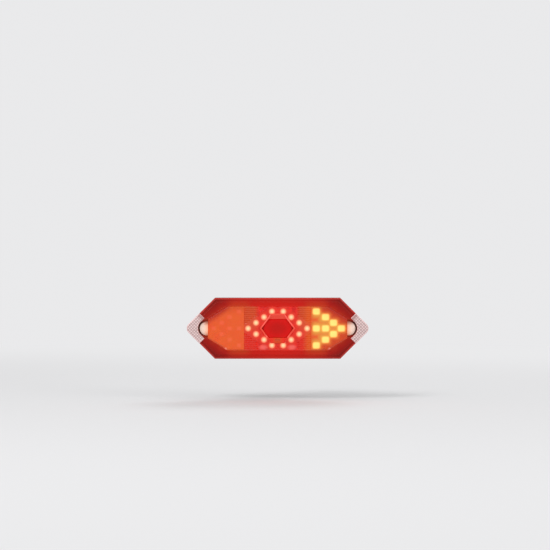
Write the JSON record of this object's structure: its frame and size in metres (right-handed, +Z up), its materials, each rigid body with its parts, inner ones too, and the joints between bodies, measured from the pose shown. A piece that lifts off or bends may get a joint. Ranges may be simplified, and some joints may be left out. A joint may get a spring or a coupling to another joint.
{
  "type": "bicycle turn signal light",
  "caption": "Long hexagonal rear bicycle light with amber arrows, a red light ring round its button and silver tips, on a tilting seatpost band bracket.",
  "frame": {"origin": "on the seatpost's axis in the band bracket, level with the middle of the light", "axes": "+Z up along the seatpost, +X across the bicycle along the light, the light shines towards -Y"},
  "size_m": [0.119, 0.0712, 0.0401],
  "materials": {
    "shell_plastic": "fine moulded texture, black with a slight red cast",
    "bezel_plastic": "gloss, smoked deep red",
    "seal_rubber": "matte",
    "silver_cap": "satin silver-white paint",
    "left_amber": "clear amber, frosted behind",
    "right_amber": "clear amber, frosted behind",
    "tip_clear": "milky clear",
    "red_clear": "clear red with fine horizontal ribs",
    "frame_red": "gloss red",
    "button_red": "smooth dark red",
    "charge_lens": "clear, smoky brown, unlit",
    "switch_plastic": "matte",
    "switch_metal": "stamped",
    "tray_white": "white, reflecting",
    "board_laminate": "solder mask",
    "red_diode": "clear, lit",
    "left_diode": "clear, unlit",
    "right_diode": "clear, lit",
    "tip_diode": "clear, lit",
    "chip_black": "moulded",
    "radio_shield": "tinned sheet",
    "battery_wrap": "foil pouch",
    "foam_pad": "foam",
    "plug_white": "moulded",
    "lead_wire": "insulated",
    "socket_steel": "bright",
    "cover_rubber": "matte",
    "bracket_nylon": "fine texture",
    "pad_rubber": "matte, ribbed",
    "band_nylon": "satin",
    "dial_nylon": "fine texture",
    "screw_steel": "zinc plated"
  },
  "bodies": {
    "bracket": {"bracket": "bracket_nylon", "post_pad": "pad_rubber", "band": "band_nylon", "band_pin": "screw_steel", "dial_washer": "screw_steel", "tilt_screw": "screw_steel", "tilt_nut": "screw_steel"},
    "dial": {"dial_nut": "dial_nylon"},
    "lamp": {"rear_shell": "shell_plastic", "shell_gasket": "seal_rubber", "front_bezel": "bezel_plastic", "housing_screws": "screw_steel", "left_end_cap": "silver_cap", "right_end_cap": "silver_cap", "left_amber_lens": "left_amber", "right_amber_lens": "right_amber", "left_tip_lens": "tip_clear", "right_tip_lens": "tip_clear", "red_lens": "red_clear", "hex_frame": "frame_red", "button_seal": "seal_rubber", "charge_light_pipe": "charge_lens", "charge_diode": "tip_diode", "tact_switch": "switch_metal", "reflector_tray": "tray_white", "led_board": "board_laminate", "red_leds": "red_diode", "left_amber_leds": "left_diode", "right_amber_leds": "right_diode", "tip_leds": "tip_diode", "control_chips": "chip_black", "radio_module": "radio_shield", "battery": "battery_wrap", "battery_pad": "foam_pad", "battery_plug": "plug_white", "battery_leads": "lead_wire", "charge_board": "board_laminate", "usb_socket": "socket_steel", "board_link": "chip_black", "usb_cover_pin": "screw_steel", "mount_shoe": "bracket_nylon", "shoe_screws": "screw_steel"},
    "button": {"power_button": "button_red", "switch_plunger": "switch_plastic"},
    "usb_door": {"usb_cover": "cover_rubber"}
  },
  "joints": [
    {"name": "tilt", "type": "hinge", "parent": "bracket", "child": "lamp", "pos_m": [0, -0.0235, 0], "axis": [1, 0, 0], "range_deg": [-20, 20]},
    {"name": "dial_turn", "type": "hinge", "parent": "bracket", "child": "dial", "pos_m": [0.018, -0.0194, 0], "axis": [0, -1, 0], "continuous": true},
    {"name": "button_press", "type": "slide", "parent": "lamp", "child": "button", "axis": [0, 1, 0], "range_m": [0, 0.0006], "stiffness_N_per_m": 1500},
    {"name": "usb_cover_hinge", "type": "hinge", "parent": "lamp", "child": "usb_door", "pos_m": [-0.032, -0.034, -0.0192], "axis": [1, 0, 0], "range_deg": [0, 95]}
  ]
}
